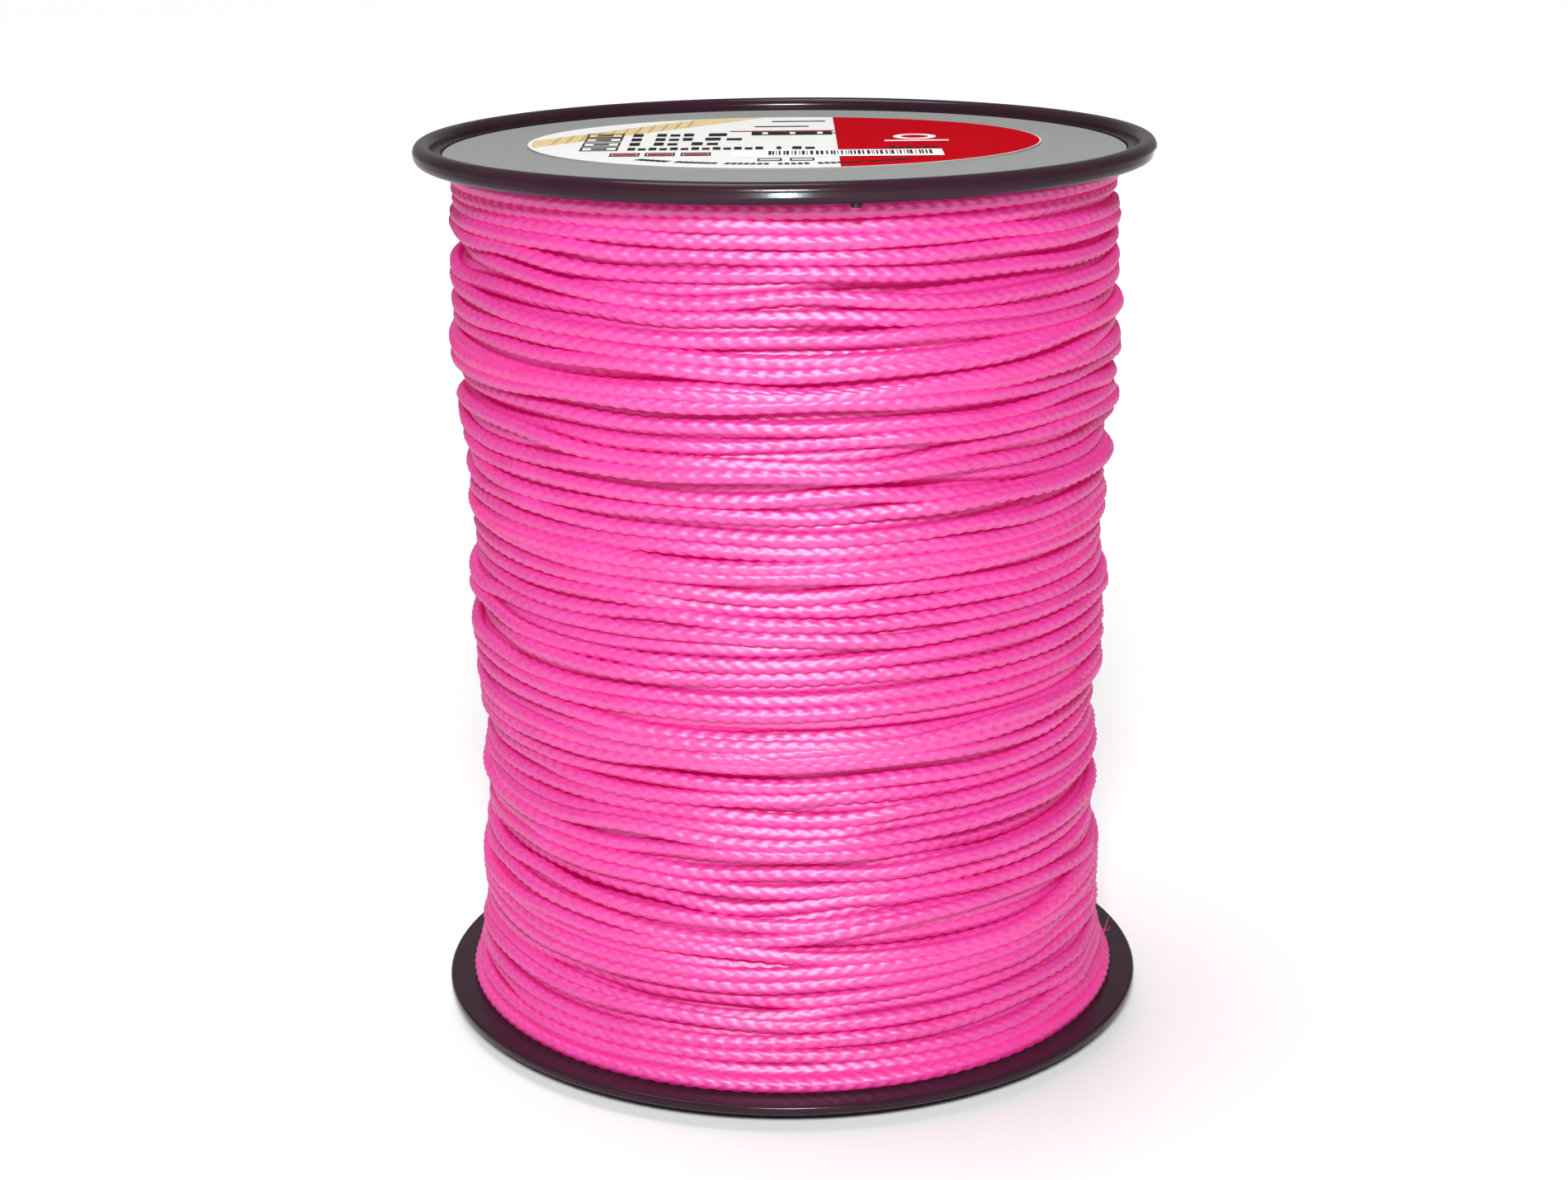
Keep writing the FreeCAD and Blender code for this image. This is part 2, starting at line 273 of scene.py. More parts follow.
def flange_plastic():
    """Near-black aubergine plastic with a moulded sheen and faint flow marks."""
    material, shader = new_material("flange_plastic", (0.020, 0.0075, 0.0145), 0.2)
    shader.inputs["Specular IOR Level"].default_value = 0.17
    place = object_place(material)
    flow = noise(material, place, scale=55, detail=3)
    colour = mixed_colour(material, flow, (0.018, 0.0065, 0.0115), (0.029, 0.0105, 0.019))
    link(material, colour, shader.inputs["Base Color"])
    rubbed = noise(material, place, scale=160, detail=6, roughness=0.65)
    link(material, ranged(material, rubbed, (0.35, 0.75), (0.17, 0.23)),
         shader.inputs["Roughness"])
    grain = noise(material, place, scale=1400, detail=3)
    bump(material, shader, grain, strength=0.03, distance=0.2 * MM)
    return material


def barrel_plastic():
    material, shader = new_material("barrel_plastic", (0.02, 0.009, 0.015), 0.45)
    rubbed = noise(material, object_place(material), scale=120, detail=4)
    link(material, ranged(material, rubbed, (0.3, 0.7), (0.38, 0.55)), shader.inputs["Roughness"])
    return material


MATT_IOR = 1.01
CUT_EDGE = 0.02 * MM


def grey_card():
    """Matt grey card with a faint mottle."""
    material, shader = new_material("grey_card", (0.25, 0.26, 0.25), 0.85)
    shader.inputs["IOR"].default_value = MATT_IOR
    place = object_place(material)
    mottle = noise(material, place, scale=420, detail=3)
    colour = mixed_colour(material, mottle, (0.238, 0.249, 0.241), (0.260, 0.271, 0.263))
    link(material, colour, shader.inputs["Base Color"])
    grain = noise(material, place, scale=2200, detail=2)
    bump(material, shader, grain, strength=0.08, distance=0.1 * MM)
    return material


def label_paper():
    """White coated paper with a faint grain and a greyer cut edge."""
    material, shader = new_material("label_paper", (0.67, 0.67, 0.66), 0.6)
    shader.inputs["IOR"].default_value = MATT_IOR
    place = object_place(material)
    fibre = noise(material, place, scale=700, detail=4)
    face = mixed_colour(material, fibre, (0.64, 0.64, 0.63), (0.70, 0.70, 0.69))
    axes = add_node(material, "ShaderNodeSeparateXYZ")
    link(material, place, axes.inputs["Vector"])
    cut = ranged(material, axes.outputs["Z"], (LABEL_TOP - CUT_EDGE, LABEL_TOP), (0, 1))
    link(material, mixed_colour(material, cut, (0.24, 0.24, 0.235), face),
         shader.inputs["Base Color"])
    bump(material, shader, fibre, strength=0.05, distance=0.2 * MM)
    return material


def ink(name, colour, darker):
    """Printing ink, a little uneven."""
    material, shader = new_material(name, colour, 0.6)
    shader.inputs["IOR"].default_value = MATT_IOR
    uneven = noise(material, object_place(material), scale=500, detail=3)
    link(material, mixed_colour(material, uneven, darker, colour), shader.inputs["Base Color"])
    return material


CORD_PINK = (0.39, 0.018, 0.200)
CORD_LIGHT = (0.42, 0.027, 0.236)
# Painted shade: the colour between the strands and on the hidden core
CORD_PAINTED_SHADE = (0.37, 0.006, 0.112)
# A painted glow that lifts the cord's shade, most of all in the gaps between turns
CORD_PAINTED_GLOW = (1.0, 0.005, 0.20, 1)
FILAMENT_SCALE = (6, 60, 1)


def cord_fibre():
    """Fluorescent pink polypropylene. The mesh's groove attribute is 1 between the strands, where it
    paints shade in a deeper pink. The emission is a painted glow that lifts the cord's shade.
    """
    material, shader = new_material("cord_fibre", CORD_PINK, 0.34)
    shader.subsurface_method = "BURLEY"
    shader.inputs["Subsurface Weight"].default_value = 0.6
    shader.inputs["Subsurface Radius"].default_value = (1.0, 0.25, 0.5)
    shader.inputs["Subsurface Scale"].default_value = 1.2 * MM
    shader.inputs["IOR"].default_value = 1.6
    shader.inputs["Specular IOR Level"].default_value = 1.0
    # The emission is a painted glow that lifts the cord's shade; the cord is no lamp
    shader.inputs["Emission Color"].default_value = CORD_PAINTED_GLOW
    shader.inputs["Emission Strength"].default_value = 0.22
    groove = add_node(material, "ShaderNodeAttribute", attribute_name="groove").outputs["Fac"]
    place = add_node(material, "ShaderNodeTexCoord")
    batch = noise(material, place.outputs["Object"], scale=140, detail=2)
    dyed = mixed_colour(material, ranged(material, batch, (0.3, 0.7), (0, 1)), CORD_PINK, CORD_LIGHT)
    # Painted shade: a deeper pink where the groove attribute is high, between the strands
    shaded = mixed_colour(material, ranged(material, groove, (0.25, 0.85), (0, 1)), dyed, CORD_PAINTED_SHADE)
    link(material, shaded, shader.inputs["Base Color"])
    along = add_node(material, "ShaderNodeMapping", Scale=FILAMENT_SCALE)
    link(material, place.outputs["UV"], along.inputs["Vector"])
    filaments = noise(material, along.outputs["Vector"], scale=1.0, detail=3, roughness=0.6)
    link(material, ranged(material, filaments, (0.3, 0.7), (0.42, 0.54)),
         shader.inputs["Roughness"])
    bump(material, shader, filaments, strength=0.35, distance=0.06 * MM)
    return material


# ---------------------------------------------------------------- the upper flange

SECTION_ANGLE = math.radians(157.5)
LATHE_STEPS = 288
LIP_HEIGHT = 2.4 * MM
LIP_ROUND = 1.05 * MM
GATE_WIDTH = 1.2 * MM
GATE_HEIGHT = 0.3 * MM
GATE_ANGLE = math.radians(10)
SHARP_ANGLE = math.radians(30)
WELD = 0.001 * MM


def section(node_name, angle):
    """The outline of a turned CAD node, as (radius, height) points in order round it, cut by
    the half plane through the axis at the angle."""
    cut = bmesh.new()
    cut.from_mesh(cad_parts[node_name].data)
    bmesh.ops.remove_doubles(cut, verts=cut.verts, dist=WELD)
    outward = Vector((math.cos(angle), math.sin(angle), 0))
    across = Vector((-math.sin(angle), math.cos(angle), 0))
    everything = list(cut.verts) + list(cut.edges) + list(cut.faces)
    bmesh.ops.bisect_plane(cut, geom=everything, plane_co=(0, 0, 0), plane_no=across,
                           clear_inner=True, clear_outer=True, dist=WELD / 10)
    bmesh.ops.remove_doubles(cut, verts=cut.verts, dist=WELD)
    start = max(cut.verts, key=lambda vert: vert.co.dot(outward))
    outline = [start]
    edge = start.link_edges[0]
    vert = edge.other_vert(start)
    while vert is not start:
        outline.append(vert)
        edge = next(other for other in vert.link_edges if other is not edge)
        vert = edge.other_vert(vert)
    points = [(vert.co.dot(outward), vert.co.z) for vert in outline]
    cut.free()
    return points


def turned(name, outline, material):
    """A piece with the outline turned round the axis, with its corners left sharp."""
    points = []
    faces = []
    count = len(outline)
    for step in range(LATHE_STEPS):
        angle = TURN * step / LATHE_STEPS
        points += [(r * math.cos(angle), r * math.sin(angle), z) for r, z in outline]
        near = step * count
        far = (step + 1) % LATHE_STEPS * count
        for i in range(count):
            beside = (i + 1) % count
            faces.append((near + i, far + i, far + beside, near + beside))
    mesh = bpy.data.meshes.new(name)
    mesh.from_pydata(points, [], faces)
    mesh.materials.append(material)
    shaped = bmesh.new()
    shaped.from_mesh(mesh)
    bmesh.ops.recalc_face_normals(shaped, faces=shaped.faces)
    shaped.to_mesh(mesh)
    shaped.free()
    mesh.polygons.foreach_set("use_smooth", [True] * len(mesh.polygons))
    mesh.set_sharp_from_angle(angle=SHARP_ANGLE)
    return add_piece(name, mesh)


def gate_mark(material):
    """The stub left by the moulding gate, under the lip."""
    middle = FLANGE_RADIUS - GATE_WIDTH
    depth = GATE_HEIGHT + LIP_ROUND
    height = CREST - LIP_HEIGHT - GATE_HEIGHT + depth / 2
    place = (middle * math.sin(GATE_ANGLE), -middle * math.cos(GATE_ANGLE), height)
    mesh = bpy.data.meshes.new("gate_mark")
    stub = bmesh.new()
    bmesh.ops.create_cone(stub, cap_ends=True, segments=32, radius1=GATE_WIDTH / 2,
                          radius2=GATE_WIDTH / 2, depth=depth)
    bmesh.ops.translate(stub, verts=stub.verts, vec=place)
    stub.to_mesh(mesh)
    stub.free()
    mesh.materials.append(material)
    return add_piece("gate_mark", mesh)


def make_upper_flange(material):
    outline = section("upper_flange", SECTION_ANGLE)
    pieces = [
        turned("upper_flange_turned", outline, material),
        gate_mark(material),
    ]
    for piece in pieces:
        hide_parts("upper_flange")
    return pieces


def light_only(light, pieces):
    """Keeps a light's effect to the pieces."""
    lit = bpy.data.collections.new(light.name + "_lights")
    for piece in pieces:
        lit.objects.link(piece)
    light.light_linking.receiver_collection = lit


# ---------------------------------------------------------------- the label's print

PRINT_THICKNESS = 0.02 * MM
PRINT_SEED = 4
ROPE_SLANT = math.radians(53)
# Places on the label are fractions of its half width and half depth from its centre.
RED_EDGE = 0.205
ROPE_NEAR = 0.655
ROPE_MIDDLE = 0.745
ROPE_FAR = 0.835
ROPE_END = 0.985
GROOVES_FROM = -0.50
GROOVES_TO = 0.38
GROOVE_STEP = 0.085
GROOVE_LEAN = 1.5
FRAME_SIDE = 0.007
FRAME_BAR = 0.016
LETTER_WIDTH = 0.72
LETTER_DIP = 0.25
BAR_UNIT = 0.0035
BARS_FROM = -0.06
BARS_TO = 0.55
BAR_FOOT = -0.55
BAR_TOP = -0.41
RING_SIDES = 24
ARC_RADII = (0.84, 0.885)
# The curved line of small print: its ends, a letter, and the steps to the next, in degrees
ARC_FROM = 231.0
ARC_TO = 300
ARC_LETTER = 1.15
ARC_STEP = 1.6
ARC_GAP = 1.8
PICTOGRAMS = ((0.175, 0.325), (0.009, 0.158), (-0.167, -0.026), (-0.342, -0.20))
# Low and high edge of a row, then its words by left edge, right edge and count of letters
WORD_ROWS = (
    (0.20, 0.307, ((-0.60, -0.545, 1), (-0.506, -0.345, 3), (-0.30, -0.20, 1))),
    (0.026, 0.130, ((-0.60, -0.545, 1), (-0.506, -0.345, 3), (-0.31, -0.143, 2))),
    (-0.155, -0.046, ((-0.60, -0.545, 1), (-0.506, -0.40, 2), (-0.36, -0.24, 2))),
    (-0.333, -0.240, ((-0.60, -0.07, 13), (-0.03, -0.005, 1), (0.03, 0.13, 2))),
    (-0.333, -0.265, ((0.40, 0.595, 6),)),
)


def block(left, right, low, high):
    return [(left, low), (right, low), (right, high), (left, high)]


def frame_blocks(left, right, low, high):
    """The four sides of a thin oblong frame."""
    floor = low + FRAME_BAR
    ceiling = high - FRAME_BAR
    return [
        block(left, right, low, floor),
        block(left, right, ceiling, high),
        block(left, left + FRAME_SIDE, floor, ceiling),
        block(right - FRAME_SIDE, right, floor, ceiling),
    ]


def word_blocks(left, right, low, high, count):
    """A plain block in place of each letter of a word. Every second one is lower."""
    step = (right - left) / count
    blocks = []
    for i in range(count):
        top = high - LETTER_DIP * (high - low) * (i % 2)
        blocks.append(block(left + step * i, left + step * (i + LETTER_WIDTH), low, top))
    return blocks


def arc_words(dice):
    """Blocks along the lower edge, in place of a line of small print."""
    blocks = []
    angle = ARC_FROM
    while angle < ARC_TO:
        for _ in range(int(dice.integers(3, 8))):
            near, far = (
                [(r * math.cos(math.radians(a)), r * math.sin(math.radians(a)))
                 for a in (angle, angle + ARC_LETTER)]
                for r in ARC_RADII
            )
            blocks.append([far[0], far[1], near[1], near[0]])
            angle += ARC_STEP
        angle += ARC_GAP
    return blocks


def bar_code(dice):
    """Bars and gaps of random widths, which stand for no number."""
    bars = []
    place = BARS_FROM
    while place < BARS_TO:
        width = BAR_UNIT * dice.integers(1, 4)
        bars.append(block(place, place + width, BAR_FOOT, BAR_TOP))
        place += width + BAR_UNIT * dice.integers(1, 4)
    return bars


def rope_point(along, out):
    """A point beside the printed rope's middle line, which slants over the upper left."""
    return (along * math.cos(ROPE_SLANT) - out * math.sin(ROPE_SLANT),
            along * math.sin(ROPE_SLANT) + out * math.cos(ROPE_SLANT))


def rope_picture():
    """The rope as one strip from edge to edge, and the slanting grooves between its strands."""
    outs = np.linspace(ROPE_NEAR, ROPE_FAR, 7)
    reach = np.sqrt(ROPE_END**2 - outs**2)
    strip = [rope_point(a, out) for a, out in zip(reach, outs)]
    strip += [rope_point(-a, out) for a, out in zip(reach[::-1], outs[::-1])]
    grooves = []
    for middle in np.arange(GROOVES_FROM, GROOVES_TO, GROOVE_STEP):
        groove = []
        for out, thick in ((ROPE_NEAR, 0.004), (ROPE_MIDDLE, 0.012), (ROPE_FAR, 0.004)):
            lean = (out - ROPE_MIDDLE) * GROOVE_LEAN
            groove.append((middle + lean, out, thick))
        sides = [rope_point(a - thick, out) for a, out, thick in groove]
        sides += [rope_point(a + thick, out) for a, out, thick in groove[::-1]]
        grooves.append(sides)
    return [strip], grooves


def ring_blocks(across, up, inner, outer):
    """A plain ring of short straight blocks."""
    angles = [TURN * i / RING_SIDES for i in range(RING_SIDES + 1)]
    corners = [(math.cos(angle), math.sin(angle)) for angle in angles]
    aspect = LABEL_HALF_WIDTH / LABEL_HALF_DEPTH
    return [
        [(across + r * c, up + aspect * r * s) for r, (c, s) in
         ((outer, first), (outer, second), (inner, second), (inner, first))]
        for first, second in zip(corners, corners[1:])
    ]


def printed(name, outlines, level, material):
    """Printed shapes as one mesh of thin slabs. Higher levels lie over lower ones."""
    low = LABEL_TOP + level * PRINT_THICKNESS
    points = []
    faces = []
    for outline in outlines:
        first = len(points)
        count = len(outline)
        for z in (low, low + PRINT_THICKNESS):
            points += [(x * LABEL_HALF_WIDTH, LABEL_MIDDLE + y * LABEL_HALF_DEPTH, z)
                       for x, y in outline]
        faces.append([first + i for i in range(count)][::-1])
        faces.append([first + count + i for i in range(count)])
        for i in range(count):
            beside = (i + 1) % count
            faces.append([first + i, first + beside, first + count + beside, first + count + i])
    mesh = bpy.data.meshes.new(name)
    mesh.from_pydata(points, [], faces)
    mesh.materials.append(material)
    return add_piece(name, mesh)


def make_print():
    """The label's print: a red right part, a straw rope, and plain blocks for all lettering."""
    dice = np.random.default_rng(PRINT_SEED)
    red = ink("ink_red", (0.425, 0.004, 0.010), (0.385, 0.003, 0.008))
    black = ink("ink_black", (0.030, 0.030, 0.032), (0.020, 0.020, 0.022))
    white = ink("ink_white", (0.74, 0.74, 0.74), (0.70, 0.70, 0.70))
    straw = ink("ink_straw", (0.66, 0.53, 0.32), (0.54, 0.40, 0.22))
    brown = ink("ink_brown", (0.50, 0.35, 0.17), (0.40, 0.27, 0.12))
    edge = math.acos(RED_EDGE)
    arc = [(0.995 * math.cos(a), 0.995 * math.sin(a)) for a in np.linspace(-edge, edge, 49)]
    rope, grooves = rope_picture()
    printed("print_red_part", [arc], 0, red)
    printed("print_rope", rope, 0, straw)
    printed("print_rope_grooves", grooves, 1, brown)

    dark = [block(-0.13, 0.19, 0.22, 0.35), block(0.19, 0.24, 0.27, 0.29)]
    dark += [block(-0.12, 0.10, 0.56, 0.59), block(-0.05, 0.17, 0.78, 0.81)]
    for low, high in PICTOGRAMS:
        dark += frame_blocks(-0.782, -0.637, low, high)
        dark.append(block(-0.74, -0.68, low + 0.05, high - 0.05))
    for low, high, words in WORD_ROWS:
        for left, right, count in words:
            dark += word_blocks(left, right, low, high, count)
    for left in (-0.658, -0.525, -0.390):
        dark += frame_blocks(left, left + 0.113, -0.553, -0.44)
    for left in (-0.10, 0.02):
        dark += frame_blocks(left, left + 0.09, -0.76, -0.67)
    dark += arc_words(dice)
    printed("print_black", dark + bar_code(dice), 2, black)

    light = [block(-0.196, 0.597, -0.605, -0.377), block(0.39, 0.64, -0.06, -0.025)]
    light += ring_blocks(0.513, 0.115, 0.055, 0.085)
    printed("print_white", light, 1, white)
    squares = [block(left, left + 0.022, 0.25, 0.32) for left in (-0.087, 0.022, 0.131)]
    printed("print_squares", squares, 3, white)
    accents = [block(-0.218, 0.20, 0.37, 0.395)]
    accents += [block(left, left + 0.09, -0.515, -0.48) for left in (-0.646, -0.513, -0.378)]
    printed("print_accents", accents, 2, red)


# ---------------------------------------------------------------- the winding, in millimetres

CORD_DIAMETER = 1.5
LEAST_PITCH = 0.97 * CORD_DIAMETER
PITCHES = (1.62, 1.68, 1.75, 1.86)
PITCH_SPREAD = 0.12
LAYERS = len(PITCHES)
TURN_SAMPLES = 360
MAP_CELL = 0.1
LOWEST_TURN = Z_LOW + CORD_DIAMETER / 2
HIGHEST_TURN = Z_HIGH - CORD_DIAMETER / 2
SOFTNESS = 0.9
BELOW_OUTLINE = 0.35
WINDING_SEED = 11
WINDINGS = 3
# The samples over which a tight cord's chords reach, in the order they are tried
CHORD_REACHES = (1, 2, 4, 8, 12, 16, 8, 4, 2, 1)
CHORD_ROUNDS = 4
HELD_SAMPLES = 60
# A loose layer's slips and humps: when slips come, how far both go, and how far from the
# layer's ends they stay
TURNS_TO_FIRST_SLIP = (6, 12)
TURNS_BETWEEN_SLIPS = (12, 20)
SLIP_BACK = (1.2, 2.0)
SLIP_ROOM = 6
HUMP_CHANCE = 0.35
HUMP_SIZE = (0.5, 1.3)
HUMP_ROOM = 4
# A turn's tilt: its size, the turns over which it swings, its drift a turn, its fade at the ends
TILT = 0.9
TILT_SWINGS = (23, 41)
TILT_DRIFT = 0.15
TILT_FADE = 4
# How turns move towards the hollows: a share of the slope at each round, up to a largest step
SETTLE_ROUNDS = 8
SETTLE_RATE = 0.35
SETTLE_STEP = 0.12
SETTLE_PROBE = 0.25
SETTLE_WINDOW = 31
# How many values smoothing reaches each way, along a turn, up the outline and along the path
TURN_REACH = 10
OUTLINE_REACH = 40
PATH_REACH = 4


def smoothed(values, reach):
    """The values averaged over a window that reaches so many of them each way."""
    window = np.hanning(2 * reach + 1)
    return np.convolve(np.pad(values, reach, "edge"), window / window.sum(), "valid")


def outer_outline():
    """Heights and radii of the wound cord's outer surface, from the CAD ring's own vertices. The
    ring's inner surface is well below half way from its least to its greatest radius."""
    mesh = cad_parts["cord_outer_layers"].data
    points = np.zeros(len(mesh.vertices) * 3)
    mesh.vertices.foreach_get("co", points)
    points = points.reshape(-1, 3) / MM
    radius = np.hypot(points[:, 0], points[:, 1])
    outer = radius > (radius.min() + radius.max()) / 2
    order = np.argsort(points[outer, 2])
    return points[outer, 2][order], radius[outer][order]


class WoundSurface:
    """The radius of the wound surface, by angle and height, which grows as turns are laid."""

    def __init__(self, radius_by_height):
        self.heights = np.arange(Z_LOW, Z_HIGH + MAP_CELL / 2, MAP_CELL)
        self.radius = np.repeat(radius_by_height(self.heights)[None, :], TURN_SAMPLES, axis=0)
        self.rows = np.arange(TURN_SAMPLES)[:, None]
        reach = int(CORD_DIAMETER / 2 / MAP_CELL)
        self.across = np.arange(-reach, reach + 1)[None, :]

    def under_cord(self, z):
        """Map columns beneath a turn at heights z, and how far the cord's skin is from its
        centre over each."""
        nearest = np.round((z - Z_LOW) / MAP_CELL).astype(int)[:, None]
        columns = np.clip(nearest + self.across, 0, len(self.heights) - 1)
        offset = self.heights[columns] - z[:, None]
        skin = np.sqrt(np.maximum((CORD_DIAMETER / 2) ** 2 - offset**2, 0))
        return columns, skin

    def support(self, z):
        """The least radius at which a turn's centre rests on the surface, by angle."""
        columns, skin = self.under_cord(z)
        return (self.radius[self.rows, columns] + skin).max(axis=1)

    def cover(self, z, centre):
        columns, skin = self.under_cord(z)
        top = np.where(skin > 0, centre[:, None] + skin, 0)
        self.radius[self.rows, columns] = np.maximum(self.radius[self.rows, columns], top)


def pulled_taut(radius, held):
    """The radius of a tight cord, which bridges hollows with straight chords. The first held
    samples are laid already and stay where they are."""
    step_angle = TURN / TURN_SAMPLES
    start = radius[:held].copy()
    for step in CHORD_REACHES:
        for _ in range(CHORD_ROUNDS):
            before = np.concatenate([np.full(step, radius[0]), radius[:-step]])
            after = np.concatenate([radius[step:], np.full(step, radius[-1])])
            chord = 2 * math.cos(step * step_angle) / (1 / before + 1 / after)
            chord[-step:] = radius[-step:]
            radius = np.maximum(radius, chord)
            radius[:held] = start
    return radius


def eased(value):
    """From 0 to 1 with a gentle start and end."""
    value = np.clip(value, 0, 1)
    return value * value * (3 - 2 * value)


def guide_line(dice, start, finish, pitch, loose):
    """Heights of the winder's guide along one layer, one value per sample, where it is free to
    lie over the turn before, and its direction. It advances a pitch a turn and wanders. In a
    loose layer it now and then slips or bulges back over turns already laid."""
    direction = 1 if finish > start else -1
    angle = np.arange(TURN_SAMPLES) / TURN_SAMPLES
    heights = [np.full(TURN_SAMPLES, start)]
    free = [np.zeros(TURN_SAMPLES, bool)]
    z = start
    next_slip = int(dice.integers(*TURNS_TO_FIRST_SLIP))
    while (finish - z) * direction > MAP_CELL:
        advance = direction * pitch * (1 + PITCH_SPREAD * dice.normal())
        slack = np.zeros(TURN_SAMPLES, bool)
        ease = angle
        room = min(abs(z - start), abs(finish - z))
        if loose and len(heights) >= next_slip and room > SLIP_ROOM:
            next_slip = len(heights) + int(dice.integers(*TURNS_BETWEEN_SLIPS))
            advance = -direction * dice.uniform(*SLIP_BACK)
            begin = dice.uniform(0, 0.5)
            ease = eased((angle - begin) / dice.uniform(0.3, 0.5))
            slack[:] = True
        target = z + advance
        target = min(target, finish) if direction > 0 else max(target, finish)
        line = z + (target - z) * ease
        if loose and room > HUMP_ROOM and not slack.any() and dice.random() < HUMP_CHANCE:
            middle = dice.uniform(0.25, 0.75)
            spread = dice.uniform(0.12, 0.24)
            hump = np.cos(np.clip((angle - middle) / spread, -1, 1) * math.pi / 2) ** 2
            line = line - direction * dice.uniform(*HUMP_SIZE) * hump
            slack = hump > 0
        heights.append(line)
        free.append(slack)
        z = target
    heights.append(np.full(TURN_SAMPLES, finish))
    free.append(np.zeros(TURN_SAMPLES, bool))
    return np.concatenate(heights), np.concatenate(free), direction


def tilt_wave(dice, count):
    """Turns don't lie square to the axis: a tilt that changes slowly from turn to turn."""
    turn = np.arange(count) / TURN_SAMPLES
    phase = dice.uniform(0, TURN)
    short, long = TILT_SWINGS
    strength = 0.55 * np.sin(TURN * turn / short + phase)
    strength = strength + 0.45 * np.sin(TURN * turn / long + 2 * phase)
    ends = eased(turn / TILT_FADE) * eased((turn[-1] - turn) / TILT_FADE)
    return TILT * strength * ends * np.sin(TURN * turn + TILT_DRIFT * turn + phase)


def settled(surface, z):
    """Moves a layer's turns sideways towards the hollows beneath them."""
    window = np.hanning(SETTLE_WINDOW)
    window /= window.sum()
    for _ in range(SETTLE_ROUNDS):
        slope = []
        for begin in range(0, len(z), TURN_SAMPLES):
            part = z[begin:begin + TURN_SAMPLES]
            above = surface.support(part + SETTLE_PROBE)
            slope.append(above - surface.support(part - SETTLE_PROBE))
        slope = np.convolve(np.concatenate(slope), window, "same")
        z = z - np.clip(slope * SETTLE_RATE, -SETTLE_STEP, SETTLE_STEP)
    return np.clip(z, LOWEST_TURN, HIGHEST_TURN)


def spaced(z, free, direction):
    """Keeps each turn beside the one before, except where the guide has slipped."""
    for begin in range(TURN_SAMPLES, len(z), TURN_SAMPLES):
        part = slice(begin, begin + TURN_SAMPLES)
        before = z[begin - TURN_SAMPLES:begin]
        pushed = direction * np.maximum(direction * z[part], direction * before + LEAST_PITCH)
        z[part] = np.where(free[part] | free[begin - TURN_SAMPLES:begin], z[part], pushed)
    return np.clip(smoothed(z, TURN_REACH), LOWEST_TURN, HIGHEST_TURN)


def lay(surface, z, most):
    """Lays the turns at heights z, one after another, and returns their centres' radii. Turns
    that pile up past the radius most, given by height, sink into the soft cord beneath."""
    held = HELD_SAMPLES
    laid = np.full(held, surface.support(z[:TURN_SAMPLES])[0])
    for begin in range(0, len(z), TURN_SAMPLES):
        end = begin + TURN_SAMPLES
        rest = surface.support(z[begin:end])
        coming = surface.support(z[end:end + TURN_SAMPLES])[:held] if end < len(z) else rest[-1:]
        line = pulled_taut(np.concatenate([laid[-held:], rest, coming]), held)
        line = line[held:held + TURN_SAMPLES]
        limit = most(z[begin:end])
        excess = np.maximum(line - limit, 0)
        line = line - excess + SOFTNESS * (1 - np.exp(-excess / SOFTNESS))
        laid = np.concatenate([laid, line])
        surface.cover(z[begin:end], line)
    return laid[held:]


def wind(radius_by_height, target, seed):
    """Winds the outer layers. Returns the cord's path by layer, the surface beneath each layer
    and the finished surface."""
    dice = np.random.default_rng(seed)
    surface = WoundSurface(radius_by_height)
    layers = []
    beneath = []
    for number in range(LAYERS):
        beneath.append(surface.radius.copy())
        start, finish = LOWEST_TURN, HIGHEST_TURN
        if (LAYERS - number) % 2 == 1:
            start, finish = finish, start
        z, free, direction = guide_line(dice, start, finish, PITCHES[number], number > 1)
        z = settled(surface, z + tilt_wave(dice, len(z)))
        z = spaced(z, free, direction)
        above = (LAYERS - 0.5 - number) * CORD_DIAMETER
        layers.append(np.column_stack([lay(surface, z, lambda at: target(at) - above), z]))
    return layers, beneath, surface


def wound_layers():
    """Winds the outer layers a few times: each winding shows how far to lower the start, so that
    the finished surface has the CAD ring's outline."""
    heights = np.arange(Z_LOW, Z_HIGH + MAP_CELL / 2, MAP_CELL)
    outline = np.interp(heights, *outer_outline())
    start = outline - LAYERS * CORD_DIAMETER
    for attempt in range(WINDINGS):
        layers, beneath, surface = wind(
            lambda z: np.interp(z, heights, start),
            lambda z: np.interp(z, heights, outline),
            WINDING_SEED,
        )
        if attempt < WINDINGS - 1:
            excess = surface.radius.mean(axis=0) - outline + BELOW_OUTLINE
            start = start - smoothed(excess, OUTLINE_REACH)
    return layers, beneath, surface


# ---------------------------------------------------------------- the cord's mesh

HALF_HEIGHT = 0.71
HALF_WIDTH = 0.80
BRAID_STRANDS = 3
BRAID_PERIOD = 5.55
BRAID_RELIEF = 0.20
BRAID_CROWN = 0.55
# The braid turns slowly about the cord's own axis: angle, length along the cord, phase
TWISTS = ((0.5, 47.0, 0.0), (0.6, 113.0, 1.0))
# Braid heights below this get painted shade, through the groove attribute
PAINTED_SHADE_FROM = 1.25
OUTWARD_REACH = math.radians(105)
PIECE_FACES = 98000
# Name, spacing of the rings, their points on the outward side and behind, relief of the braid
DRAWN_LAYERS = (
    ("cord_layer_1", 1.0, 7, 3, 0.0),
    ("cord_layer_2", 0.40, 13, 2, BRAID_RELIEF),
    ("cord_layer_3", 0.33, 16, 3, BRAID_RELIEF),
)
CORE_STEP = 4
CORE_DEPTH = 0.3
# The hidden core's groove value, which paints it in the shade colour, as shade under the turns
CORE_PAINTED_SHADE = 0.9


